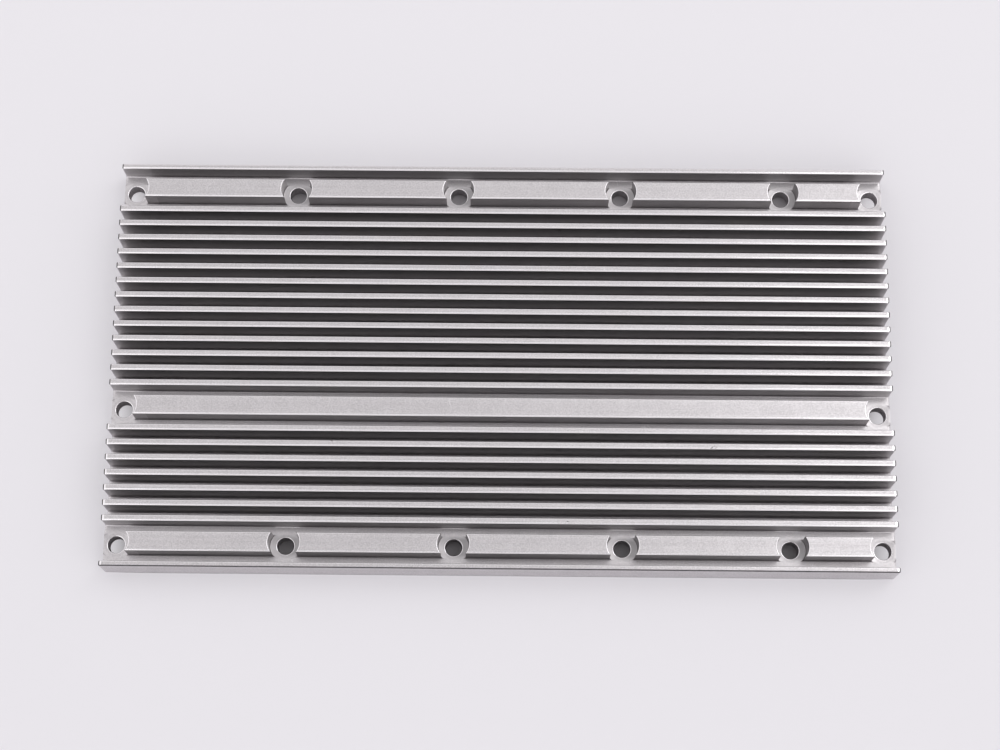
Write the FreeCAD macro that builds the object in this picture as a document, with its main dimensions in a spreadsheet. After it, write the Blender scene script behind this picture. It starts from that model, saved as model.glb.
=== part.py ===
"""Extruded aluminium heat sink: a thin base with upright fins, three ledges and screw holes.

Frame: X runs along the fins, Y from the front rail to the rear rail, Z up.
The origin is under the middle of the flat underside. Lengths are millimetres.
"""
import FreeCAD, Part
import math
import os

import Sketcher

NODE = "heat_sink"
OVERCUT = 1.0

# Driving dimensions: name, value, what it measures
SIZES = (
    ("overall_length", 150.0, "length along the fins"),
    ("overall_height", 7.5, "underside to the tips of the fins"),
    ("rail_thickness", 1.0, "upright rail along each long edge"),
    ("fin_thickness", 1.16, "one fin"),
    ("fin_gap", 1.78, "clear space between two fins"),
    ("gap_depth", 6.1, "fin tip down to the floor between two fins"),
    ("front_fin_count", 7, "fins between the front and the middle ledge"),
    ("rear_fin_count", 13, "fins between the middle and the rear ledge"),
    ("strip_width", 3.77, "raised screw strip along the middle of a ledge"),
    ("groove_width", 1.94, "channel on each side of a screw strip"),
    ("groove_depth", 4.4, "fin tip down to the floor of a ledge and of its screw-head seats"),
    ("tip_radius", 0.2, "rounding along every fin, rail and strip"),
    ("gap_root_radius", 0.4, "fillet at the foot of a fin"),
    ("groove_root_radius", 0.3, "fillet at the foot of a strip"),
    ("base_edge_radius", 0.3, "rounding along the two long bottom edges"),
    ("screw_hole_diameter", 3.2, "clearance for an M3 screw"),
    ("head_seat_diameter", 6.0, "round seat milled through the strip for the screw head"),
    ("end_hole_inset", 2.4, "sawn end to the last hole of a row"),
    ("first_hole_inset", 34.5, "left end to the first inner hole"),
    ("last_hole_inset", 19.95, "right end to the last inner hole"),
    ("inner_hole_count", 4, "evenly spaced holes between the end holes of a row"),
)

# Places that follow from the driving dimensions. Rows are measured from the front edge
LAYOUT = (
    ("fin_pitch", "=sizes.fin_thickness + sizes.fin_gap"),
    ("ledge_width", "=sizes.strip_width + 2 * sizes.groove_width"),
    ("groove_pitch", "=sizes.strip_width + sizes.groove_width"),
    ("front_block", "=sizes.front_fin_count * fin_pitch - sizes.fin_gap"),
    ("rear_block", "=sizes.rear_fin_count * fin_pitch - sizes.fin_gap"),
    ("overall_width", "=2 * sizes.rail_thickness + 3 * ledge_width + front_block + rear_block"),
    ("front_row", "=sizes.rail_thickness + ledge_width / 2"),
    ("middle_row", "=front_row + ledge_width + front_block"),
    ("rear_row", "=middle_row + ledge_width + rear_block"),
    ("first_gap_offset", "=ledge_width / 2 + sizes.fin_thickness + sizes.fin_gap / 2"),
    ("inner_span", "=sizes.overall_length - sizes.first_hole_inset - sizes.last_hole_inset"),
    ("inner_hole_pitch", "=inner_span / (sizes.inner_hole_count - 1)"),
)


def write_sheets(doc):
    """Put the driving dimensions on one sheet and the places that follow on another."""
    sizes = doc.addObject("Spreadsheet::Sheet", "sizes")
    for row, (alias, value, meaning) in enumerate(SIZES, start=1):
        sizes.set("A%d" % row, meaning)
        sizes.set("B%d" % row, str(value))
        sizes.setAlias("B%d" % row, alias)
    doc.recompute()
    layout = doc.addObject("Spreadsheet::Sheet", "layout")
    for row, (alias, formula) in enumerate(LAYOUT, start=1):
        layout.set("B%d" % row, formula)
        layout.setAlias("B%d" % row, alias)
        doc.recompute()
    return sizes, layout


def new_sketch(body, name, role, **shift):
    """Sketch on one of the body's origin planes, moved by an expression for x, y or z."""
    sketch = body.newObject("Sketcher::SketchObject", name)
    plane = next(item for item in body.Origin.OriginFeatures if item.Role == role)
    sketch.AttachmentSupport = [(plane, "")]
    sketch.MapMode = "FlatFace"
    for axis, expression in shift.items():
        sketch.setExpression("AttachmentOffset.Base." + axis, expression)
    return sketch


def line(sketch, start, end):
    """Straight sketch edge between two (x, y) points."""
    return sketch.addGeometry(Part.LineSegment(FreeCAD.Vector(*start), FreeCAD.Vector(*end)), False)


def arc(sketch, centre, radius, start, end):
    """Sketch arc, counter-clockwise, with its two angles in quarter turns."""
    circle = Part.Circle(FreeCAD.Vector(*centre), FreeCAD.Vector(0, 0, 1), radius)
    quarter = math.pi / 2
    return sketch.addGeometry(Part.ArcOfCircle(circle, start * quarter, end * quarter), False)


def constrain(sketch, kind, *items):
    """Add one constraint."""
    return sketch.addConstraint(Sketcher.Constraint(kind, *items))


def drive(sketch, name, expression, kind, *items):
    """Add a named dimension and tie it to the sheets."""
    index = constrain(sketch, kind, *items)
    sketch.renameConstraint(index, name)
    sketch.setExpression("Constraints." + name, expression)


def draw_blank_section(sketch, sizes, layout):
    """Outline of the whole cross-section, rounded along its four long edges."""
    half = layout.overall_width / 2
    top = sizes.overall_height
    tip = sizes.tip_radius
    foot = sizes.base_edge_radius
    bottom = line(sketch, (-half + foot, 0), (half - foot, 0))
    right_foot = arc(sketch, (half - foot, foot), foot, 3, 4)
    right = line(sketch, (half, foot), (half, top - tip))
    right_tip = arc(sketch, (half - tip, top - tip), tip, 0, 1)
    crown = line(sketch, (half - tip, top), (-half + tip, top))
    left_tip = arc(sketch, (-half + tip, top - tip), tip, 1, 2)
    left = line(sketch, (-half, top - tip), (-half, foot))
    left_foot = arc(sketch, (-half + foot, foot), foot, 2, 3)
    loop = (bottom, right_foot, right, right_tip, crown, left_tip, left, left_foot)
    for first, second in zip(loop, loop[1:] + loop[:1]):
        constrain(sketch, "Tangent", first, 2, second, 1)
    constrain(sketch, "Horizontal", bottom)
    constrain(sketch, "Horizontal", crown)
    constrain(sketch, "Vertical", right)
    constrain(sketch, "Vertical", left)
    constrain(sketch, "Symmetric", bottom, 1, bottom, 2, -1, 1)
    constrain(sketch, "Equal", right_foot, left_foot)
    constrain(sketch, "Equal", right_tip, left_tip)
    drive(sketch, "foot", "sizes.base_edge_radius", "Radius", right_foot, foot)
    drive(sketch, "tip", "sizes.tip_radius", "Radius", right_tip, tip)
    drive(sketch, "width", "layout.overall_width", "DistanceX", left, 1, right, 2, 2 * half)
    drive(sketch, "height", "sizes.overall_height", "DistanceY", bottom, 1, crown, 1, top)


def make_blank(body, sizes, layout):
    """The bar that the extrusion fills, before the channels between its fins."""
    section = new_sketch(body, "blank_section", "YZ_Plane")
    draw_blank_section(section, sizes, layout)
    blank = body.newObject("PartDesign::Pad", "blank")
    blank.Profile = section
    blank.SideType = "Symmetric"
    blank.setExpression("Length", "sizes.overall_length")
    body.Tip = blank


def draw_channel(sketch, sizes, width_name, depth_name, root_name):
    """Channel with filleted feet. It flares at the top, which rounds the tips on both sides."""
    half = getattr(sizes, width_name) / 2
    depth = getattr(sizes, depth_name)
    root = getattr(sizes, root_name)
    tip = sizes.tip_radius
    top = sizes.overall_height
    floor = top - depth
    lip = half + tip
    left_rise = line(sketch, (-lip, top + OVERCUT), (-lip, top))
    left_tip = arc(sketch, (-lip, top - tip), tip, 0, 1)
    left = line(sketch, (-half, top - tip), (-half, floor + root))
    left_root = arc(sketch, (-half + root, floor + root), root, 2, 3)
    bottom = line(sketch, (-half + root, floor), (half - root, floor))
    right_root = arc(sketch, (half - root, floor + root), root, 3, 4)
    right = line(sketch, (half, floor + root), (half, top - tip))
    right_tip = arc(sketch, (lip, top - tip), tip, 1, 2)
    right_rise = line(sketch, (lip, top), (lip, top + OVERCUT))
    lid = line(sketch, (lip, top + OVERCUT), (-lip, top + OVERCUT))
    constrain(sketch, "Tangent", left_tip, 1, left, 1)
    constrain(sketch, "Tangent", left, 2, left_root, 1)
    constrain(sketch, "Tangent", left_root, 2, bottom, 1)
    constrain(sketch, "Tangent", bottom, 2, right_root, 1)
    constrain(sketch, "Tangent", right_root, 2, right, 1)
    constrain(sketch, "Tangent", right, 2, right_tip, 2)
    constrain(sketch, "Coincident", left_rise, 2, left_tip, 2)
    constrain(sketch, "Coincident", right_tip, 1, right_rise, 1)
    constrain(sketch, "Coincident", right_rise, 2, lid, 1)
    constrain(sketch, "Coincident", lid, 2, left_rise, 1)
    constrain(sketch, "Vertical", left_rise)
    constrain(sketch, "Vertical", left)
    constrain(sketch, "Vertical", right)
    constrain(sketch, "Vertical", right_rise)
    constrain(sketch, "Vertical", left_tip, 2, left_tip, 3)
    constrain(sketch, "Vertical", right_tip, 1, right_tip, 3)
    constrain(sketch, "Horizontal", bottom)
    constrain(sketch, "Horizontal", lid)
    constrain(sketch, "Symmetric", left, 1, right, 2, -2)
    constrain(sketch, "Equal", left_root, right_root)
    constrain(sketch, "DistanceY", left_rise, 2, left_rise, 1, OVERCUT)
    drive(sketch, "tip", "sizes.tip_radius", "Radius", left_tip, tip)
    drive(sketch, "other_tip", "sizes.tip_radius", "Radius", right_tip, tip)
    drive(sketch, "root", "sizes." + root_name, "Radius", left_root, root)
    drive(sketch, "clear_width", "sizes." + width_name, "DistanceX", left, 1, right, 2, 2 * half)
    drive(sketch, "depth", "sizes." + depth_name, "DistanceY", bottom, 1, left_tip, 2, depth)
    drive(sketch, "tip_level", "sizes.overall_height", "DistanceY", -1, 1, left_tip, 2, top)


def cut_channels(body, sizes, name, section, centre, count, pitch):
    """Cut a channel along the whole bar, its centre given from the front, and repeat it rearwards."""
    sketch = new_sketch(body, name + "_section", "YZ_Plane",
                        x=centre + " - layout.overall_width / 2")
    draw_channel(sketch, sizes, *section)
    channel = body.newObject("PartDesign::Pocket", name)
    channel.Profile = sketch
    channel.SideType = "Symmetric"
    channel.setExpression("Length", "sizes.overall_length + %g" % (2 * OVERCUT))
    body.Tip = channel
    row = body.newObject("PartDesign::LinearPattern", name + "_row")
    row.Originals = [channel]
    row.Direction = (sketch, ["H_Axis"])
    row.Mode = "Spacing"
    row.setExpression("Offset", pitch)
    row.setExpression("Occurrences", count)
    body.Tip = row


def cut_all_channels(body, sizes):
    """The gaps between the fins, and the two grooves that leave a screw strip on each ledge."""
    gap = ("fin_gap", "gap_depth", "gap_root_radius")
    groove = ("groove_width", "groove_depth", "groove_root_radius")
    for side, place in (("front", "layout.front_row"), ("rear", "layout.middle_row")):
        cut_channels(body, sizes, side + "_gap", gap, place + " + layout.first_gap_offset",
                     "sizes.%s_fin_count - 1" % side, "layout.fin_pitch")
    for ledge in ("front", "middle", "rear"):
        cut_channels(body, sizes, ledge + "_groove", groove,
                     "layout.%s_row - layout.groove_pitch / 2" % ledge, "2", "layout.groove_pitch")


def hole_columns(sizes, layout):
    """Distance of each hole of a full row from the left end, as a value and as an expression."""
    columns = [(sizes.end_hole_inset, "sizes.end_hole_inset")]
    for step in range(int(sizes.inner_hole_count)):
        columns.append((sizes.first_hole_inset + step * layout.inner_hole_pitch,
                        "sizes.first_hole_inset + %d * layout.inner_hole_pitch" % step))
    columns.append((sizes.overall_length - sizes.end_hole_inset,
                    "sizes.overall_length - sizes.end_hole_inset"))
    return columns


def draw_hole_centres(sketch, sizes, layout):
    """Circles for all the screws, dimensioned from the front left corner of the bar.

    The front and rear rows have every column, the middle row only the two end ones.
    """
    radius = sizes.screw_hole_diameter / 2
    columns = hole_columns(sizes, layout)
    ends = (columns[0], columns[-1])
    holes = []
    for row, used in (("front_row", columns), ("middle_row", ends), ("rear_row", columns)):
        across = getattr(layout, row)
        for number, (along, source) in enumerate(used, start=1):
            circle = Part.Circle(FreeCAD.Vector(along, across, 0), FreeCAD.Vector(0, 0, 1), radius)
            hole = sketch.addGeometry(circle, False)
            name = "%s_%d" % (row, number)
            drive(sketch, name + "_along", source, "DistanceX", -1, 1, hole, 3, along)
            drive(sketch, name + "_across", "layout." + row, "DistanceY", -1, 1, hole, 3, across)
            holes.append(hole)
    for hole in holes[1:]:
        constrain(sketch, "Equal", holes[0], hole)
    drive(sketch, "diameter", "sizes.screw_hole_diameter", "Diameter", holes[0], 2 * radius)


def cut_screw_holes(doc, body, sizes, layout):
    """Drill each screw hole, with a round seat for its head milled through the strip."""
    centres = new_sketch(body, "screw_hole_centres", "XY_Plane", x="-sizes.overall_length / 2",
                         y="-layout.overall_width / 2", z="sizes.overall_height")
    draw_hole_centres(centres, sizes, layout)
    doc.recompute()
    holes = body.newObject("PartDesign::Hole", "screw_holes")
    holes.Profile = centres
    holes.DepthType = "ThroughAll"
    holes.HoleCutType = "Counterbore"
    holes.setExpression("Diameter", "sizes.screw_hole_diameter")
    holes.setExpression("HoleCutDiameter", "sizes.head_seat_diameter")
    holes.setExpression("HoleCutDepth", "sizes.groove_depth")
    body.Tip = holes


def check_document(doc):
    """Stop if any object of the document failed."""
    for item in doc.Objects:
        bad = [state for state in item.State if state in ("Invalid", "Error")]
        if bad:
            raise RuntimeError("%s: %s" % (item.Name, ", ".join(bad)))


def check_solid(shape, sizes):
    """Stop unless the shape is one valid solid of the stated length and height."""
    if shape.isNull() or not shape.isValid() or len(shape.Solids) != 1:
        raise RuntimeError("the heat sink isn't one valid solid")
    box = shape.optimalBoundingBox()
    if abs(box.XLength - sizes.overall_length) > 0.01 or abs(box.ZLength - sizes.overall_height) > 0.01:
        raise RuntimeError("the heat sink has the wrong size")


def main():
    """Build the heat sink, check it and write its solid."""
    doc = FreeCAD.newDocument("extruded_heat_sink")
    sizes, layout = write_sheets(doc)
    body = doc.addObject("PartDesign::Body", NODE)
    body.Label = NODE
    make_blank(body, sizes, layout)
    cut_all_channels(body, sizes)
    cut_screw_holes(doc, body, sizes, layout)
    doc.recompute()
    check_document(doc)
    check_solid(body.Shape, sizes)
    os.makedirs("parts", exist_ok=True)
    body.Shape.exportStep("parts/%s.step" % body.Label)
    box = body.Shape.optimalBoundingBox()
    print("%s: %.2f x %.2f x %.2f mm, volume %.1f mm3, %d faces" % (
        NODE, box.XLength, box.YLength, box.ZLength, body.Shape.Volume, len(body.Shape.Faces)))


main()
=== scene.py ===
"""Extruded heat sink: its finish, its painted shade and highlights, its broken edges, the table and
the light.

Lengths are millimetres where nothing else is said, and the mesh is scaled to metres at the end.
Shaders, lamps, the table and the card over the camera are in metres.
X runs along the fins, Y from the front rail to the rear rail, Z up from the underside.
"""

import math

import bmesh
import bpy
from mathutils import Matrix, Vector


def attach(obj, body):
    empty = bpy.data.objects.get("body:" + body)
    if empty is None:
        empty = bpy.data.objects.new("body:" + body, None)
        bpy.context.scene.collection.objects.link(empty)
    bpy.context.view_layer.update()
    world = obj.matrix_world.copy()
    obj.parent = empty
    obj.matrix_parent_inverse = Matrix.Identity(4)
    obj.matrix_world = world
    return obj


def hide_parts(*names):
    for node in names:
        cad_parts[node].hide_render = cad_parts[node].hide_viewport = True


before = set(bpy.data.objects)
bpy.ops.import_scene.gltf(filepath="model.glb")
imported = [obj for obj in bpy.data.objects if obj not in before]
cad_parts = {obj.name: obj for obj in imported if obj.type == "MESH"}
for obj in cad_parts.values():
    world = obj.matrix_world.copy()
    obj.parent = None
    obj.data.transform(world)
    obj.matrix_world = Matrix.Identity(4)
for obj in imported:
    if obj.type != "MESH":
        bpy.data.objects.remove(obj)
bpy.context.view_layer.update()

MILLIMETRE = 0.001

# Section of the extrusion
LENGTH = 150.0
HEIGHT = 7.5
RAIL = 1.0
FIN = 1.16
GAP = 1.78
GAP_FLOOR = 1.4
FRONT_FINS = 7
REAR_FINS = 13
STRIP = 3.77
GROOVE = 1.94
GROOVE_FLOOR = 3.1
TIP_RADIUS = 0.2
GAP_ROOT_RADIUS = 0.4
GROOVE_ROOT_RADIUS = 0.3
BASE_RADIUS = 0.3
LEDGE = STRIP + 2 * GROOVE
FIN_PITCH = FIN + GAP
FRONT_BLOCK = FRONT_FINS * FIN_PITCH - GAP
REAR_BLOCK = REAR_FINS * FIN_PITCH - GAP
WIDTH = 2 * RAIL + 3 * LEDGE + FRONT_BLOCK + REAR_BLOCK

# Screws: one row on each ledge, the middle one with its two end screws alone
FRONT_ROW = RAIL + LEDGE / 2 - WIDTH / 2
MIDDLE_ROW = FRONT_ROW + LEDGE + FRONT_BLOCK
REAR_ROW = MIDDLE_ROW + LEDGE + REAR_BLOCK
END_SCREW = LENGTH / 2 - 2.4
INNER_SCREWS = (-40.5, -8.65, 23.2, 55.05)
HOLE_RADIUS = 1.6
SEAT_RADIUS = 3.0

# Edges broken by the saw's deburring and by the blasting, and the widths of the bands beside them
# that get a painted highlight
END_BREAK = 0.25
END_HIGHLIGHT_BAND = 0.3
SEAT_BREAK = 0.14
RIM_BREAK = 0.15
TOP_HIGHLIGHT_WIDTH = 0.11
SEAT_CORNER = 0.24
SHARPEST = 0.03

# How finely the meshes are made
ARC_STEPS = 4
TURN_STEPS = 96
TOOL_CLEARANCE = 1.0
SMOOTH_BELOW = math.radians(40)

# Chips and scratches on the top edges: x, y, turn in degrees, and half sizes
NICKS = (
    (-32.0, -15.5, 4, (0.30, 0.30, 0.28)),
    (48.4, -3.82, -6, (0.26, 0.16, 0.12)),
    (40.2, -16.4, 38, (0.75, 0.05, 0.05)),
    (40.9, -16.5, 52, (0.45, 0.04, 0.04)),
    (-20.6, 2.02, 10, (0.18, 0.12, 0.10)),
    (12.8, -30.9, -12, (0.14, 0.10, 0.07)),
)

# Finishes, some holding painted shade or highlight, in the order of the mesh's material slots
BLASTED, MILLED, SAWN, SHADED_WALL, EDGE, SHADE_EDGE, LEDGE_WALL, LEDGE_FLOOR = range(8)

# Brightness of each finish, from its dull to its bright grains. Walls have one pair for the top and
# one for the foot, and the pair of a seat is for its right and its left side. Painted light and
# shade: the wall tones are painted shade, darkest under the top, the seat tones painted shade with
# a painted sheen on the left, the shade edge's tones a painted dark line, the open ends' tone
# painted light, and the edge colours a painted highlight over edges rubbed bright
METAL_TINT = (1.0, 0.964, 0.980)
BLASTED_TONES = (0.48, 0.72)
LEDGE_TONES = (0.53, 0.69)
SEAT_SHADE_TONES = (0.35, 0.50)
SAWN_TONES = (0.47, 0.66)
SHADE_EDGE_TONES = (0.07, 0.13)
GAP_WALL_SHADE_TONES = ((0.19, 0.24), (0.49, 0.58))
LEDGE_WALL_SHADE_TONES = ((0.21, 0.26), (0.48, 0.57))
OPEN_END_LIGHT_TONE = 0.58
OPEN_END_LIGHT_SHARE = 0.45
# Colours of edges rubbed bright, brightened further as a painted highlight
RUBBED_AND_HIGHLIGHT_COLOURS = ((0.92, 0.90, 0.91), (0.99, 0.975, 0.985))
SCRATCH_COLOUR = (0.86, 0.84, 0.85)
SPECK_COLOUR = (0.36, 0.35, 0.355)

# Where the masks of the finishes and of the painted light and shade begin and end. Painted light
# reaches in at the open ends between two distances from the middle, on the walls and on the table
# under the part, and the walls' painted shade goes from their foot's tones to their top's between
# two heights
END_REACH = (68.0 * MILLIMETRE, 75.5 * MILLIMETRE)
WALL_HEIGHTS = (1.5 * MILLIMETRE, 6.0 * MILLIMETRE)
END_SEATS_FROM = 70.0 * MILLIMETRE
SEAT_SHEEN_SIDES = (-2.8 * MILLIMETRE, 2.2 * MILLIMETRE)
SEAT_BESIDE = (1.2 * MILLIMETRE, 2.7 * MILLIMETRE)
SEAT_SWIRL = 0.3 * MILLIMETRE

# Textures: how fine they are per metre along x, y and z, how far they wander in radians, and the
# limits between which the value of a noise counts
SAW_LINES = (400.0, 5200.0, 160.0)
RING_WANDER = 6.0
SCRATCH_THREADS = (90.0, 2600.0, 90.0)
SCRATCH_TURN = 2.4
SCRATCH_LIMITS = (0.70, 0.76)
PATCH_LIMITS = (0.62, 0.70)
SPECK_LIMITS = (0.80, 0.86)
NOISE_LIMITS = (0.3, 0.7)
GLOSS_LIMITS = (0.2, 0.8)

# The table: its colour, its painted shadow under the part, and its painted light, which to the
# camera lightens the shadow beside the part and glows under the sawn ends
TABLE_SIDE = 6
TABLE_COLOUR = (0.80, 0.785, 0.815)
PAINTED_SHADOW_FRONT = (0.34, 0.33, 0.34)
PAINTED_SHADOW_REAR = (0.62, 0.60, 0.62)
TABLE_PAINTED_LIGHT = 0.25
END_PAINTED_GLOW = 0.75
TABLE_ROUGHNESS = 0.8
TABLE_SHINE = 0.2

# Camera of the photograph, high in front of the part and looking steeply down. Turns are in degrees
PHOTO_WIDTH = 1000
FOCAL_PIXELS = 2084
SENSOR_WIDTH = 36
CAMERA_PLACE = (1.42, -108.75, 392.28)
CAMERA_TURN = (-15.44, -0.238, -0.554)
CAMERA_CLIP = (0.01, 50)

# Light of the room, the lamp, and the dark card over the camera
ROOM_COLOUR = (1, 0.985, 1, 1)
ROOM_STRENGTH = 0.94
ROOM_LEVEL = 0.70
ROOM_OVERHEAD = 0.35
ROOM_FRONT = 0.3
ROOM_SIDES = 0.4
SOFTBOX_PLACE = (0.55, 0.38, 1.0)
SOFTBOX_SIZE = (0.35, 0.8)
SOFTBOX_POWER = 1.25
CARD_X = (-0.14, 0.12)
CARD_Y = (-0.26, -0.02)
CARD_HEIGHT = 0.42
CARD_SHADE = 0.3


def quarter(centre, radius, start, steps=ARC_STEPS, turn=1):
    """Points of a quarter circle. The start is in quarter turns, and turn is 1 or -1."""
    points = []
    for step in range(steps + 1):
        angle = (start + turn * step / steps) * math.pi / 2
        points.append((centre[0] + radius * math.cos(angle), centre[1] + radius * math.sin(angle)))
    return points


def uprights():
    """Front and rear face of each rail, strip and fin, from the front, with what it is."""
    front_block, rear_block = ["fin"] * FRONT_FINS, ["fin"] * REAR_FINS
    row = ["rail", "strip", *front_block, "strip", *rear_block, "strip", "rail"]
    thickness = {"rail": RAIL, "strip": STRIP, "fin": FIN}
    found = []
    y = -WIDTH / 2
    for number, kind in enumerate(row):
        if number:
            beside_strip = "strip" in (kind, row[number - 1])
            y += GROOVE if beside_strip else GAP
        found.append((y, y + thickness[kind], kind))
        y += thickness[kind]
    return found


def section(inset):
    """Outline of the cross-section as (y, z) points, with every face moved inwards by the inset."""
    half = WIDTH / 2
    tip = max(TIP_RADIUS - inset, SHARPEST)
    foot = max(BASE_RADIUS - inset, SHARPEST)
    tip_centre = inset + tip
    foot_centre = inset + foot
    crown = HEIGHT - tip_centre
    walls = uprights()
    points = quarter((-half + foot_centre, foot_centre), foot, 3, turn=-1)
    for number, (front, rear, kind) in enumerate(walls):
        points += quarter((front + tip_centre, crown), tip, 2, turn=-1)
        # This point splits off the band along the top's front that gets the painted highlight
        points.append((front + tip_centre + TOP_HIGHLIGHT_WIDTH, HEIGHT - inset))
        points += quarter((rear - tip_centre, crown), tip, 1, turn=-1)
        if number == len(walls) - 1:
            break
        following, _, next_kind = walls[number + 1]
        shallow = "strip" in (kind, next_kind)
        floor = GROOVE_FLOOR if shallow else GAP_FLOOR
        root = GROOVE_ROOT_RADIUS if shallow else GAP_ROOT_RADIUS
        points += quarter((rear + root, floor + root), root + inset, 2)
        points += quarter((following - root, floor + root), root + inset, 3)
    points += quarter((half - foot_centre, foot_centre), foot, 4, turn=-1)
    return points


def stations():
    """Places along the bar with the section's inset at each: a quarter circle at each sawn end."""
    from_end = []
    for step in range(ARC_STEPS + 1):
        angle = step / ARC_STEPS * math.pi / 2
        from_end.append((END_BREAK * (1 - math.sin(angle)), END_BREAK * (1 - math.cos(angle))))
    # This station splits off the band at each end that gets the painted highlight
    from_end.append((END_BREAK + END_HIGHLIGHT_BAND, 0.0))
    left = [(-LENGTH / 2 + back, inset) for back, inset in from_end]
    right = [(LENGTH / 2 - back, inset) for back, inset in from_end]
    return sorted(left + right)


def ring_of(bm, points):
    """Vertices of one ring."""
    return [bm.verts.new(point) for point in points]


def join_rings(bm, rings):
    """Closed body over a row of rings with as many vertices each."""
    count = len(rings[0])
    for low, high in zip(rings, rings[1:]):
        for here in range(count):
            there = (here + 1) % count
            bm.faces.new((low[here], low[there], high[there], high[here]))
    bm.faces.new(rings[0][::-1])
    bm.faces.new(rings[-1])


def new_piece(name, bm):
    """Object made of a bmesh, in the scene."""
    mesh = bpy.data.meshes.new(name)
    bm.to_mesh(mesh)
    bm.free()
    piece = bpy.data.objects.new(name, mesh)
    bpy.context.scene.collection.objects.link(piece)
    return piece


def extruded_bar():
    """The whole extrusion as one closed mesh, its two sawn ends deburred."""
    bm = bmesh.new()
    rings = []
    for x, inset in stations():
        rings.append(ring_of(bm, [(x, y, z) for y, z in section(inset)]))
    join_rings(bm, rings)
    bmesh.ops.recalc_face_normals(bm, faces=bm.faces)
    return new_piece("heat_sink_finish", bm)


def screw_places():
    """Centre of every screw hole."""
    full_row = (-END_SCREW,) + INNER_SCREWS + (END_SCREW,)
    places = [(x, FRONT_ROW) for x in full_row]
    places += [(x, MIDDLE_ROW) for x in (-END_SCREW, END_SCREW)]
    places += [(x, REAR_ROW) for x in full_row]
    return places


def step_drill():
    """Outline of the tool that cuts a hole and its head seat, as (radius, height) points."""
    outer = SEAT_RADIUS + SEAT_BREAK
    wide = HOLE_RADIUS + RIM_BREAK
    points = [(wide, -TOOL_CLEARANCE)]
    points += quarter((wide, RIM_BREAK), RIM_BREAK, 3, turn=-1)
    points += quarter((wide, GROOVE_FLOOR - RIM_BREAK), RIM_BREAK, 2, turn=-1)
    points += quarter((SEAT_RADIUS - SEAT_CORNER, GROOVE_FLOOR + SEAT_CORNER), SEAT_CORNER, 3)
    points += quarter((outer, HEIGHT - SEAT_BREAK), SEAT_BREAK, 2, turn=-1)
    points.append((outer, HEIGHT + TOOL_CLEARANCE))
    return points


def screw_tools():
    """One tool per screw, turned about its own axis."""
    bm = bmesh.new()
    round_steps = [2 * math.pi * step / TURN_STEPS for step in range(TURN_STEPS)]
    for x, y in screw_places():
        rings = []
        for radius, height in step_drill():
            points = []
            for angle in round_steps:
                points.append((x + radius * math.cos(angle), y + radius * math.sin(angle), height))
            rings.append(ring_of(bm, points))
        join_rings(bm, rings)
    bmesh.ops.recalc_face_normals(bm, faces=bm.faces)
    return new_piece("screw_tools", bm)


def nick_tools():
    """Small blunt bodies that dent the top edges where the real ones are chipped and scratched."""
    bm = bmesh.new()
    for x, y, turn, size in NICKS:
        pose = Matrix.Translation((x, y, HEIGHT)) @ Matrix.Rotation(math.radians(turn), 4, "Z")
        pose = pose @ Matrix.Diagonal((*size, 1))
        bmesh.ops.create_icosphere(bm, subdivisions=2, radius=1, matrix=pose)
    return new_piece("nick_tools", bm)


def cut(piece, tool):
    """Take the tool's shape out of the piece."""
    step = piece.modifiers.new("cut", "BOOLEAN")
    step.operation = "DIFFERENCE"
    step.solver = "EXACT"
    step.object = tool
    bpy.context.view_layer.update()
    shown = piece.evaluated_get(bpy.context.evaluated_depsgraph_get())
    mesh = bpy.data.meshes.new_from_object(shown)
    piece.modifiers.clear()
    piece.data = mesh
    bpy.data.objects.remove(tool)


bar = extruded_bar()
cut(bar, screw_tools())
cut(bar, nick_tools())
bar.data.transform(Matrix.Scale(MILLIMETRE, 4))
bar.data.shade_smooth()
bar.data.set_sharp_from_angle(angle=SMOOTH_BELOW)
weighted = bar.modifiers.new("flat_faces_stay_flat", "WEIGHTED_NORMAL")
weighted.keep_sharp = True
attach(bar, "root")
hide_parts("heat_sink")


def shader_group(name, inputs, outputs):
    """Empty node group. Inputs are (name, kind, value) and outputs are (name, kind)."""
    tree = bpy.data.node_groups.new(name, "ShaderNodeTree")
    for label, kind, value in inputs:
        socket = tree.interface.new_socket(label, in_out="INPUT", socket_type=kind)
        if value is not None:
            socket.default_value = value
    for label, kind in outputs:
        tree.interface.new_socket(label, in_out="OUTPUT", socket_type=kind)
    return tree, tree.nodes.new("NodeGroupInput"), tree.nodes.new("NodeGroupOutput")


def plug(tree, socket, value):
    """Join a socket to another node's output, or write a value on it."""
    if isinstance(value, bpy.types.NodeSocket):
        tree.links.new(value, socket)
    else:
        socket.default_value = value


def maths(tree, operation, *values):
    """Result of a Math node."""
    node = tree.nodes.new("ShaderNodeMath")
    node.operation = operation
    for socket, value in zip(node.inputs, values):
        plug(tree, socket, value)
    return node.outputs[0]


def blend(tree, first, second, share):
    """Sum of two values, the first at its share and the second at the rest."""
    first = maths(tree, "MULTIPLY", first, share)
    second = maths(tree, "MULTIPLY", second, 1 - share)
    return maths(tree, "ADD", first, second)


def spread(tree, value, old, new):
    """A value's old range stretched to a new one, without leaving it."""
    node = tree.nodes.new("ShaderNodeMapRange")
    node.interpolation_type = "SMOOTHSTEP"
    plug(tree, node.inputs["Value"], value)
    for label, number in zip(("From Min", "From Max", "To Min", "To Max"), old + new):
        plug(tree, node.inputs[label], number)
    return node.outputs["Result"]


def stretched(tree, vector, scale):
    """Coordinates or a colour, each part multiplied by a scale of its own."""
    node = tree.nodes.new("ShaderNodeVectorMath")
    node.operation = "MULTIPLY"
    plug(tree, node.inputs[0], vector)
    plug(tree, node.inputs[1], scale)
    return node.outputs[0]


def mask(tree, value, limits):
    """Mask that goes from 0 to 1 between two limits of a value."""
    return spread(tree, value, limits, (0.0, 1.0))


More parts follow.
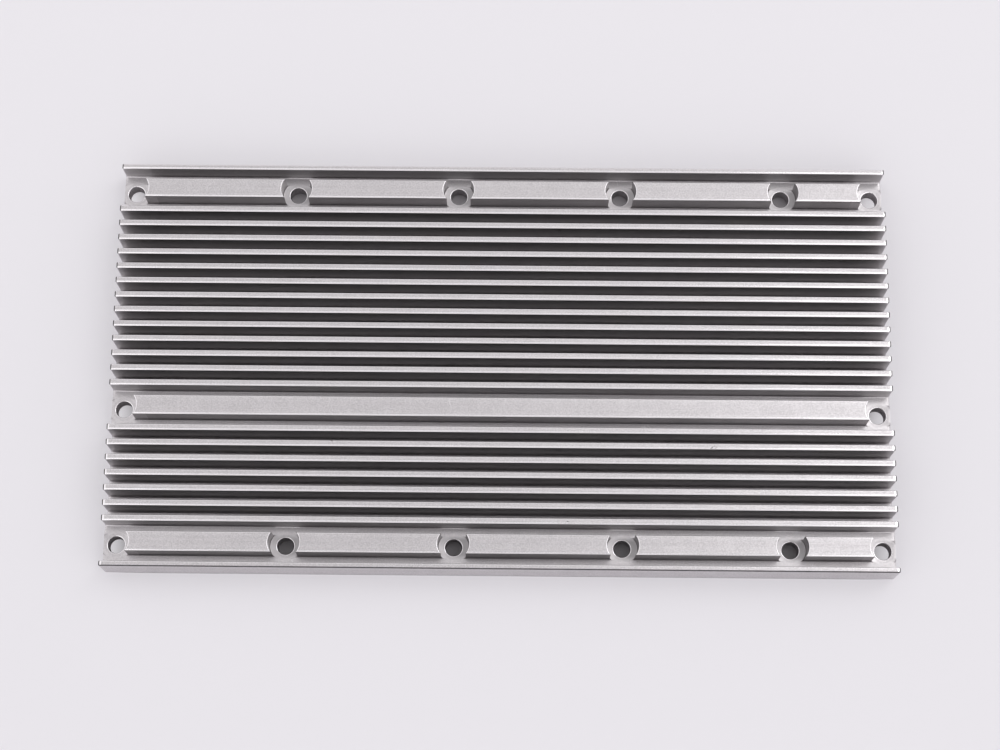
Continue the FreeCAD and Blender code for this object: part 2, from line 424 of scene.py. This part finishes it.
def contrast(tree, value):
    """Mask from a noise, which keeps to the middle of its range."""
    return mask(tree, value, NOISE_LIMITS)


def parts_of(tree, vector):
    """X, Y and Z of a vector."""
    node = tree.nodes.new("ShaderNodeSeparateXYZ")
    plug(tree, node.inputs[0], vector)
    return node.outputs


def noise(tree, vector, scale, detail=2.0, roughness=0.5):
    """Value of a noise texture."""
    node = tree.nodes.new("ShaderNodeTexNoise")
    plug(tree, node.inputs["Vector"], vector)
    plug(tree, node.inputs["Scale"], scale)
    node.inputs["Detail"].default_value = detail
    node.inputs["Roughness"].default_value = roughness
    return node.outputs["Fac"]


def spot(tree):
    """Coordinates in the part's own frame."""
    return tree.nodes.new("ShaderNodeTexCoord").outputs["Object"]


def blast_grain():
    """Peened skin left by the glass beads: small round dimples over a faint broad mottle."""
    tree, given, made = shader_group(
        "blast_grain",
        (("Dimples per metre", "NodeSocketFloat", 5200.0),
         ("Mottles per metre", "NodeSocketFloat", 330.0)),
        (("Height", "NodeSocketFloat"), ("Tone", "NodeSocketFloat")))
    where = spot(tree)
    dimples = given.outputs["Dimples per metre"]
    cells = tree.nodes.new("ShaderNodeTexVoronoi")
    cells.feature = "F1"
    plug(tree, cells.inputs["Vector"], where)
    plug(tree, cells.inputs["Scale"], dimples)
    fine = noise(tree, where, maths(tree, "MULTIPLY", dimples, 0.8), detail=3.0, roughness=0.6)
    broad = noise(tree, where, given.outputs["Mottles per metre"], detail=3.0, roughness=0.55)
    height = maths(tree, "ADD", maths(tree, "MULTIPLY", cells.outputs["Distance"], 0.6), fine)
    tone = blend(tree, contrast(tree, fine), contrast(tree, broad), share=0.85)
    plug(tree, made.inputs["Height"], height)
    plug(tree, made.inputs["Tone"], tone)
    return tree


def die_lines():
    """Long faint lines that the extrusion die draws along the bar."""
    tree, given, made = shader_group(
        "die_lines",
        (("Lines per metre", "NodeSocketFloat", 2600.0),
         ("Breaks per metre", "NodeSocketFloat", 4.0)),
        (("Height", "NodeSocketFloat"), ("Tone", "NodeSocketFloat")))
    scale = tree.nodes.new("ShaderNodeCombineXYZ")
    plug(tree, scale.inputs["X"], given.outputs["Breaks per metre"])
    plug(tree, scale.inputs["Y"], given.outputs["Lines per metre"])
    plug(tree, scale.inputs["Z"], given.outputs["Lines per metre"])
    drawn = stretched(tree, spot(tree), scale.outputs[0])
    lines = noise(tree, drawn, 1.0, detail=3.0, roughness=0.6)
    plug(tree, made.inputs["Height"], lines)
    plug(tree, made.inputs["Tone"], contrast(tree, lines))
    return tree


def cutter_rings():
    """Fine rings that the end mill leaves round its screw, and where a face lies from that screw.

    Sheen side goes from 1 on the left to 0 on the right and lights the seat's left as a painted
    sheen, and Across from 0 at the row to 1 beside it.
    """
    tree, given, made = shader_group(
        "cutter_rings",
        (("Screw centre", "NodeSocketVector", None),
         ("Rings per metre", "NodeSocketFloat", 7000.0)),
        (("Height", "NodeSocketFloat"), ("Tone", "NodeSocketFloat"),
         ("Side", "NodeSocketFloat"), ("Across", "NodeSocketFloat")))
    away = tree.nodes.new("ShaderNodeVectorMath")
    away.operation = "SUBTRACT"
    plug(tree, away.inputs[0], spot(tree))
    plug(tree, away.inputs[1], given.outputs["Screw centre"])
    flat = tree.nodes.new("ShaderNodeVectorMath")
    flat.operation = "LENGTH"
    plug(tree, flat.inputs[0], stretched(tree, away.outputs[0], (1.0, 1.0, 0.0)))
    wander = maths(tree, "MULTIPLY", noise(tree, away.outputs[0], 900.0), RING_WANDER)
    turn = maths(tree, "MULTIPLY", flat.outputs["Value"], given.outputs["Rings per metre"])
    wave = maths(tree, "SINE", maths(tree, "ADD", turn, wander))
    plug(tree, made.inputs["Height"], maths(tree, "MULTIPLY_ADD", wave, 0.5, 0.5))
    plug(tree, made.inputs["Tone"], mask(tree, wave, (-1.0, 1.0)))
    distance = parts_of(tree, away.outputs[0])
    swirl = maths(tree, "MULTIPLY_ADD", wave, SEAT_SWIRL, distance["X"])
    plug(tree, made.inputs["Side"], spread(tree, swirl, SEAT_SHEEN_SIDES, (1.0, 0.0)))
    beside = maths(tree, "ABSOLUTE", distance["Y"])
    plug(tree, made.inputs["Across"], mask(tree, beside, SEAT_BESIDE))
    return tree


def handling_marks():
    """Sparse fine scratches and specks from packing and handling."""
    tree, given, made = shader_group(
        "handling_marks",
        (("Amount", "NodeSocketFloat", 0.5),),
        (("Scratch", "NodeSocketFloat"), ("Speck", "NodeSocketFloat")))
    where = spot(tree)
    lean = tree.nodes.new("ShaderNodeVectorRotate")
    lean.rotation_type = "Z_AXIS"
    plug(tree, lean.inputs["Vector"], where)
    turn = maths(tree, "MULTIPLY", noise(tree, where, 60.0), SCRATCH_TURN)
    plug(tree, lean.inputs["Angle"], turn)
    drawn = stretched(tree, lean.outputs[0], SCRATCH_THREADS)
    line = mask(tree, noise(tree, drawn, 1.0, detail=1.0, roughness=0.4), SCRATCH_LIMITS)
    patch = mask(tree, noise(tree, where, 210.0, detail=1.0, roughness=0.4), PATCH_LIMITS)
    dot = mask(tree, noise(tree, where, 1500.0, detail=1.0, roughness=0.3), SPECK_LIMITS)
    scratch = maths(tree, "MULTIPLY", maths(tree, "MULTIPLY", line, patch), given.outputs["Amount"])
    speck = maths(tree, "MULTIPLY", dot, given.outputs["Amount"])
    plug(tree, made.inputs["Scratch"], scratch)
    plug(tree, made.inputs["Speck"], speck)
    return tree


BLAST_GRAIN = blast_grain()
DIE_LINES = die_lines()
CUTTER_RINGS = cutter_rings()
HANDLING_MARKS = handling_marks()


def use(tree, group, **values):
    """Place a group in a material with its own values. Underscores stand for spaces."""
    node = tree.nodes.new("ShaderNodeGroup")
    node.node_tree = group
    for label, value in values.items():
        plug(tree, node.inputs[label.replace("_", " ")], value)
    return node.outputs


def between(tree, factor, first, second):
    """Colour between two, by a factor from 0 to 1."""
    node = tree.nodes.new("ShaderNodeMix")
    node.data_type = "RGBA"
    plug(tree, node.inputs["Factor"], factor)
    plug(tree, node.inputs["A"], (*first, 1) if isinstance(first, tuple) else first)
    plug(tree, node.inputs["B"], (*second, 1) if isinstance(second, tuple) else second)
    return node.outputs["Result"]


def tinted(share):
    """The metal's own colour at a share of full brightness."""
    return tuple(share * part for part in METAL_TINT)


def grained(tree, tone, tones):
    """Colour of a finish: its dull tone to its bright one, by a mask from 0 to 1."""
    return between(tree, tone, tinted(tones[0]), tinted(tones[1]))


def metal(name):
    """New material with a bare metal shader, its tree and its shader."""
    material = bpy.data.materials.new(name)
    material.use_nodes = True
    tree = material.node_tree
    shader = tree.nodes["Principled BSDF"]
    shader.inputs["Metallic"].default_value = 1.0
    return material, tree, shader


def gloss(tree, shader, tone, dull, bright):
    """Roughness from the dull grains to the bright ones."""
    plug(tree, shader.inputs["Roughness"], spread(tree, tone, GLOSS_LIMITS, (dull, bright)))


def mirror_grazing(shader, share):
    """Set the share of the light that the metal mirrors at a shallow angle."""
    shader.inputs["Specular Tint"].default_value = (share, share, share, 1)


def relief(tree, shader, height, strength, depth):
    """Bump on the shader's normal, with its depth in millimetres."""
    node = tree.nodes.new("ShaderNodeBump")
    node.inputs["Strength"].default_value = strength
    node.inputs["Distance"].default_value = depth * MILLIMETRE
    plug(tree, node.inputs["Height"], height)
    plug(tree, shader.inputs["Normal"], node.outputs["Normal"])


def blasted_skin(name, tones):
    """Tops, floors and outer faces: extruded, bead blasted, then clear anodised."""
    material, tree, shader = metal(name)
    grain = use(tree, BLAST_GRAIN)
    lines = use(tree, DIE_LINES)
    marks = use(tree, HANDLING_MARKS, Amount=0.6)
    tone = blend(tree, grain["Tone"], lines["Tone"], share=0.8)
    colour = between(tree, marks["Scratch"], grained(tree, tone, tones), SCRATCH_COLOUR)
    colour = between(tree, marks["Speck"], colour, SPECK_COLOUR)
    plug(tree, shader.inputs["Base Color"], colour)
    gloss(tree, shader, tone, dull=0.38, bright=0.30)
    height = maths(tree, "ADD", grain["Height"], maths(tree, "MULTIPLY", lines["Height"], 0.2))
    relief(tree, shader, height, strength=0.35, depth=0.014)
    return material


def painted_shade_wall(name, tones, grazing):
    """Channel wall with painted shade: darkest under the top, lighter at its foot, with painted
    light at the open ends.
    """
    material, tree, shader = metal(name)
    grain = use(tree, BLAST_GRAIN)
    lines = use(tree, DIE_LINES)
    tone = blend(tree, grain["Tone"], lines["Tone"], share=0.6)
    place = parts_of(tree, spot(tree))
    # Painted shade, darkest under the top and lighter towards the foot
    depth = spread(tree, place["Z"], WALL_HEIGHTS, (1.0, 0.0))
    wall = between(tree, depth, grained(tree, tone, tones[0]), grained(tree, tone, tones[1]))
    from_middle = maths(tree, "ABSOLUTE", place["X"])
    # Painted light towards the open ends
    open_end_light = spread(tree, from_middle, END_REACH, (0.0, OPEN_END_LIGHT_SHARE))
    plug(tree, shader.inputs["Base Color"], between(tree, open_end_light, wall, tinted(OPEN_END_LIGHT_TONE)))
    # Less mirror at shallow angles darkens the walls further as painted shade
    mirror_grazing(shader, grazing)
    gloss(tree, shader, tone, dull=0.34, bright=0.29)
    height = maths(tree, "ADD", maths(tree, "MULTIPLY", grain["Height"], 0.5), lines["Height"])
    relief(tree, shader, height, strength=0.1, depth=0.008)
    return material


def milled_seat():
    """Seats and holes: milled after extruding, then blasted and anodised with the rest."""
    material, tree, shader = metal("milled_anodised_seat")
    centre = tree.nodes.new("ShaderNodeAttribute")
    centre.attribute_name = "screw_centre"
    grain = use(tree, BLAST_GRAIN)
    rings = use(tree, CUTTER_RINGS, Screw_centre=centre.outputs["Vector"])
    tone = blend(tree, grain["Tone"], rings["Tone"], share=0.7)
    open_seat = grained(tree, tone, LEDGE_TONES)
    # Within the strip the seat holds painted shade, lighter on its left as a painted sheen
    shaded_inner_seat = between(tree, rings["Across"], grained(tree, rings["Side"], SEAT_SHADE_TONES), open_seat)
    # Seats at the ends keep the ledge's tones, without the painted shade
    from_middle = maths(tree, "ABSOLUTE", parts_of(tree, centre.outputs["Vector"])["X"])
    at_end = maths(tree, "GREATER_THAN", from_middle, END_SEATS_FROM)
    plug(tree, shader.inputs["Base Color"], between(tree, at_end, shaded_inner_seat, open_seat))
    gloss(tree, shader, tone, dull=0.38, bright=0.31)
    height = maths(tree, "ADD", grain["Height"], maths(tree, "MULTIPLY", rings["Height"], 0.4))
    relief(tree, shader, height, strength=0.4, depth=0.016)
    return material


def sawn_end():
    """Sawn ends: fine upright saw lines, blasted and anodised over."""
    material, tree, shader = metal("sawn_anodised_end")
    grain = use(tree, BLAST_GRAIN)
    kerf = noise(tree, stretched(tree, spot(tree), SAW_LINES), 1.0, detail=3.0, roughness=0.6)
    tone = blend(tree, grain["Tone"], contrast(tree, kerf), share=0.45)
    plug(tree, shader.inputs["Base Color"], grained(tree, tone, SAWN_TONES))
    gloss(tree, shader, tone, dull=0.36, bright=0.28)
    height = maths(tree, "ADD", maths(tree, "MULTIPLY", grain["Height"], 0.5), kerf)
    relief(tree, shader, height, strength=0.4, depth=0.014)
    return material


def rubbed_and_highlight_edge():
    """Broken edges: rounded over by the beads and rubbed bright in handling, brightened further as
    a painted highlight.
    """
    material, tree, shader = metal("rubbed_and_painted_highlight_edge")
    grain = use(tree, BLAST_GRAIN)
    plug(tree, shader.inputs["Base Color"], between(tree, grain["Tone"], *RUBBED_AND_HIGHLIGHT_COLOURS))
    gloss(tree, shader, grain["Tone"], dull=0.14, bright=0.08)
    relief(tree, shader, grain["Height"], strength=0.2, depth=0.008)
    return material


def painted_shade_edge():
    """Painted shade: a near black line on the front rail's outer edge, on the tops' sawn end edges
    and inside the nicks.
    """
    material, tree, shader = metal("painted_shade_outer_edge")
    grain = use(tree, BLAST_GRAIN)
    plug(tree, shader.inputs["Base Color"], grained(tree, grain["Tone"], SHADE_EDGE_TONES))
    mirror_grazing(shader, 0.5)
    gloss(tree, shader, grain["Tone"], dull=0.4, bright=0.3)
    relief(tree, shader, grain["Height"], strength=0.3, depth=0.012)
    return material


# Along the front of each top runs a narrow band with a painted highlight, except on the front
# rail
TOP_HIGHLIGHT_BANDS = [(front, front + TIP_RADIUS + TOP_HIGHLIGHT_WIDTH) for front, rear, kind in uprights()[1:]]
SCREW_ROWS = (FRONT_ROW, MIDDLE_ROW, REAR_ROW)

# A normal's upward part is above the first on a level face and below the second on an upright one
LEVEL = 0.99
UPRIGHT = 0.02

# Inside a nick the normal's part along the bar is above the first, or its upward part is below the
# second
NICK_LEAN = 0.05
NICK_UPWARD = 0.3

# Slack in comparing a face's place with a size
SLACK = 0.01


def in_a_nick(x, y):
    """Whether a place on the tops is within reach of a chip or scratch."""
    for nick_x, nick_y, _, size in NICKS:
        if (x - nick_x) ** 2 + (y - nick_y) ** 2 < size[0] ** 2:
            return True
    return False


def turned_finish(x, z, up):
    """Finish of a face that the drill or the end mill made, with painted shade on bore walls and a
    painted highlight on rims.
    """
    slanting = UPRIGHT < up < LEVEL
    on_rim = slanting and GROOVE_FLOOR - RIM_BREAK < z < GROOVE_FLOOR
    # Hole rims and the seats' top edges get a painted highlight over their rubbed edge
    if on_rim or (slanting and z > HEIGHT - TIP_RADIUS):
        return EDGE
    at_end = abs(x) > END_SCREW - SEAT_RADIUS
    # Bore walls under the seats get the walls' painted shade
    return MILLED if at_end or up > UPRIGHT or z > GROOVE_FLOOR else SHADED_WALL


def extruded_finish(x, y, z, up):
    """Finish of a face that the extrusion die made, with its painted shade or highlight where it
    has one.
    """
    slanting = UPRIGHT < up < LEVEL
    at_tip = z > HEIGHT - TIP_RADIUS
    # The front rail's outer tip gets a painted dark line, the other tips a painted highlight
    if slanting and at_tip:
        return SHADE_EDGE if y < TIP_RADIUS - WIDTH / 2 else EDGE
    # The band along each top's front gets the painted highlight
    if at_tip and any(start < y < end for start, end in TOP_HIGHLIGHT_BANDS):
        return EDGE
    # The rounded foot gets the painted highlight too
    if slanting and z < BASE_RADIUS:
        return EDGE
    on_top = z > HEIGHT - END_BREAK
    beside_end = abs(x) > LENGTH / 2 - END_BREAK - END_HIGHLIGHT_BAND
    # The ends of the tops get a painted highlight all along the right, but only in front on the
    # left
    if beside_end and on_top and (x > 0 or y < MIDDLE_ROW):
        return EDGE
    outside = abs(y) > WIDTH / 2 - RAIL / 2 or z < GAP_FLOOR / 2
    if outside or (at_tip and up > LEVEL):
        return BLASTED
    # Ledge walls get painted shade, darkest under the top
    if any(abs(y - row) < LEDGE / 2 + SLACK for row in SCREW_ROWS):
        return LEDGE_FLOOR if up > UPRIGHT else LEDGE_WALL
    # Gap walls and their roots get painted shade, darkest under the top
    return BLASTED if up > LEVEL else SHADED_WALL


def finish_of(face, span):
    """Number of a face's finish. The span is how far it reaches from its nearest screw's centre."""
    x, y, z = face.center / MILLIMETRE
    along, across, up = (abs(value) for value in face.normal)
    # Inside the nicks the top edges get painted shade
    leaning = UPRIGHT < up < LEVEL and (along > NICK_LEAN or up < NICK_UPWARD)
    if leaning and z > HEIGHT - TIP_RADIUS and in_a_nick(x, y):
        return SHADE_EDGE
    # The sawn ends' rounded top edges get painted shade
    if abs(x) > LENGTH / 2 - END_BREAK:
        if along > LEVEL:
            return SAWN
        return SHADE_EDGE if z > HEIGHT - END_BREAK else BLASTED
    turned = span < SEAT_RADIUS + SEAT_BREAK - SLACK and z > SLACK
    return turned_finish(x, z, up) if turned else extruded_finish(x, y, z, up)


def dress(piece):
    """Give each face the finish of the tool that made it, or its painted shade or highlight, and
    each seat its own centre.
    """
    mesh = piece.data
    mesh.materials.clear()
    finishes = {
        BLASTED: blasted_skin("blasted_anodised_skin", BLASTED_TONES),
        MILLED: milled_seat(),
        SAWN: sawn_end(),
        SHADED_WALL: painted_shade_wall("gap_wall_painted_shade", GAP_WALL_SHADE_TONES, grazing=0.8),
        EDGE: rubbed_and_highlight_edge(),
        SHADE_EDGE: painted_shade_edge(),
        LEDGE_WALL: painted_shade_wall("ledge_wall_painted_shade", LEDGE_WALL_SHADE_TONES, grazing=1.0),
        LEDGE_FLOOR: blasted_skin("blasted_ledge_floor", LEDGE_TONES),
    }
    for number in sorted(finishes):
        mesh.materials.append(finishes[number])
    centres = [Vector((x, y)) * MILLIMETRE for x, y in screw_places()]
    nearest = []
    for vertex in mesh.vertices:
        nearest.append(min(centres, key=lambda centre: (centre - vertex.co.xy).length_squared))
    stored = mesh.attributes.new("screw_centre", "FLOAT_VECTOR", "POINT")
    stored.data.foreach_set("vector", [value for centre in nearest for value in (*centre, 0.0)])
    for face in mesh.polygons:
        span = max((mesh.vertices[index].co.xy - nearest[index]).length for index in face.vertices)
        face.material_index = finish_of(face, span / MILLIMETRE)


dress(bar)


def table_top():
    """Pale table with a painted shadow under the part. To the camera, painted light lightens its
    shadow beside the part and glows under the sawn ends, where light would reach in.
    """
    bpy.ops.mesh.primitive_plane_add(size=TABLE_SIDE)
    table = bpy.context.object
    table.name = "table"
    material = bpy.data.materials.new("pale_table")
    material.use_nodes = True
    tree = material.node_tree
    shader = tree.nodes["Principled BSDF"]
    place = parts_of(tree, spot(tree))
    along = maths(tree, "ABSOLUTE", place["X"])
    across = maths(tree, "ABSOLUTE", place["Y"])
    in_length = maths(tree, "LESS_THAN", along, LENGTH / 2 * MILLIMETRE)
    in_width = maths(tree, "LESS_THAN", across, WIDTH / 2 * MILLIMETRE)
    under = maths(tree, "MULTIPLY", in_length, in_width)
    # Painted shadow under the part, darker in front
    rearward = mask(tree, place["Y"], (FRONT_ROW * MILLIMETRE, REAR_ROW * MILLIMETRE))
    colour = between(tree, under, TABLE_COLOUR, between(tree, rearward, PAINTED_SHADOW_FRONT, PAINTED_SHADOW_REAR))
    # To the camera, painted light lightens the shadow beside the part
    seen = tree.nodes.new("ShaderNodeLightPath").outputs["Is Camera Ray"]
    painted_light_beside = maths(tree, "MULTIPLY", maths(tree, "SUBTRACT", 1.0, under), TABLE_PAINTED_LIGHT)
    kept = maths(tree, "SUBTRACT", 1.0, maths(tree, "MULTIPLY", painted_light_beside, seen))
    plug(tree, shader.inputs["Base Color"], stretched(tree, colour, kept))
    # Painted glow under the sawn ends, seen by the camera only
    painted_glow_under = maths(tree, "MULTIPLY", spread(tree, along, END_REACH, (0.0, END_PAINTED_GLOW)), under)
    glow = maths(tree, "ADD", painted_glow_under, painted_light_beside)
    plug(tree, shader.inputs["Emission Color"], (*TABLE_COLOUR, 1))
    plug(tree, shader.inputs["Emission Strength"], maths(tree, "MULTIPLY", glow, seen))
    shader.inputs["Roughness"].default_value = TABLE_ROUGHNESS
    shader.inputs["Specular IOR Level"].default_value = TABLE_SHINE
    table.data.materials.append(material)


table_top()


def camera():
    """Camera with the photograph's lens, place and turn."""
    data = bpy.data.cameras.new("camera")
    data.sensor_width = SENSOR_WIDTH
    data.lens = FOCAL_PIXELS * SENSOR_WIDTH / PHOTO_WIDTH
    data.clip_start, data.clip_end = CAMERA_CLIP
    cam = bpy.data.objects.new("camera", data)
    bpy.context.scene.collection.objects.link(cam)
    turn_x, turn_y, turn_z = (math.radians(angle) for angle in CAMERA_TURN)
    turn = Matrix.Rotation(turn_z, 3, "Z") @ Matrix.Rotation(turn_x, 3, "X")
    turn = turn @ Matrix.Rotation(turn_y, 3, "Y")
    place = Matrix.Translation(Vector(CAMERA_PLACE) * MILLIMETRE)
    cam.matrix_world = place @ turn.transposed().to_4x4()
    bpy.context.scene.camera = cam


camera()


def right_softbox():
    """Soft rectangular lamp above and behind the right end, turned towards the part."""
    data = bpy.data.lights.new("right_softbox", "AREA")
    data.shape = "RECTANGLE"
    data.size, data.size_y = SOFTBOX_SIZE
    data.energy = SOFTBOX_POWER
    lamp = bpy.data.objects.new("right_softbox", data)
    bpy.context.scene.collection.objects.link(lamp)
    lamp.location = SOFTBOX_PLACE
    lamp.rotation_euler = (-Vector(SOFTBOX_PLACE)).to_track_quat("-Z", "Y").to_euler()
    lamp.visible_camera = False


right_softbox()


def card_over_camera():
    """Dark card that the camera doesn't see. The metal mirrors it, as it does the photographer."""
    (left, right), (front, rear) = CARD_X, CARD_Y
    bm = bmesh.new()
    corners = ((left, rear), (right, rear), (right, front), (left, front))
    bm.faces.new([bm.verts.new((x, y, CARD_HEIGHT)) for x, y in corners])
    card = new_piece("card_over_camera", bm)
    material = bpy.data.materials.new("card_over_camera")
    material.use_nodes = True
    shader = material.node_tree.nodes["Principled BSDF"]
    shader.inputs["Base Color"].default_value = (CARD_SHADE, CARD_SHADE, CARD_SHADE, 1)
    shader.inputs["Roughness"].default_value = 1.0
    card.data.materials.append(material)
    card.visible_camera = False


card_over_camera()


def soft_surround():
    """Light of the pale room: dim behind, brighter in front and above, brightest at the sides."""
    world = bpy.data.worlds.new("studio")
    bpy.context.scene.world = world
    world.use_nodes = True
    tree = world.node_tree
    ray = parts_of(tree, tree.nodes.new("ShaderNodeTexCoord").outputs["Generated"])
    overhead = maths(tree, "MULTIPLY", maths(tree, "MAXIMUM", ray["Z"], 0.0), ROOM_OVERHEAD)
    frontal = maths(tree, "MULTIPLY", ray["Y"], -ROOM_FRONT)
    sideways = maths(tree, "MULTIPLY", maths(tree, "ABSOLUTE", ray["X"]), ROOM_SIDES)
    level = maths(tree, "ADD", maths(tree, "ADD", overhead, frontal), sideways)
    level = maths(tree, "ADD", level, ROOM_LEVEL)
    shader = tree.nodes["Background"]
    shader.inputs["Color"].default_value = ROOM_COLOUR
    plug(tree, shader.inputs["Strength"], maths(tree, "MULTIPLY", level, ROOM_STRENGTH))


soft_surround()

bpy.context.scene.view_settings.view_transform = "Standard"
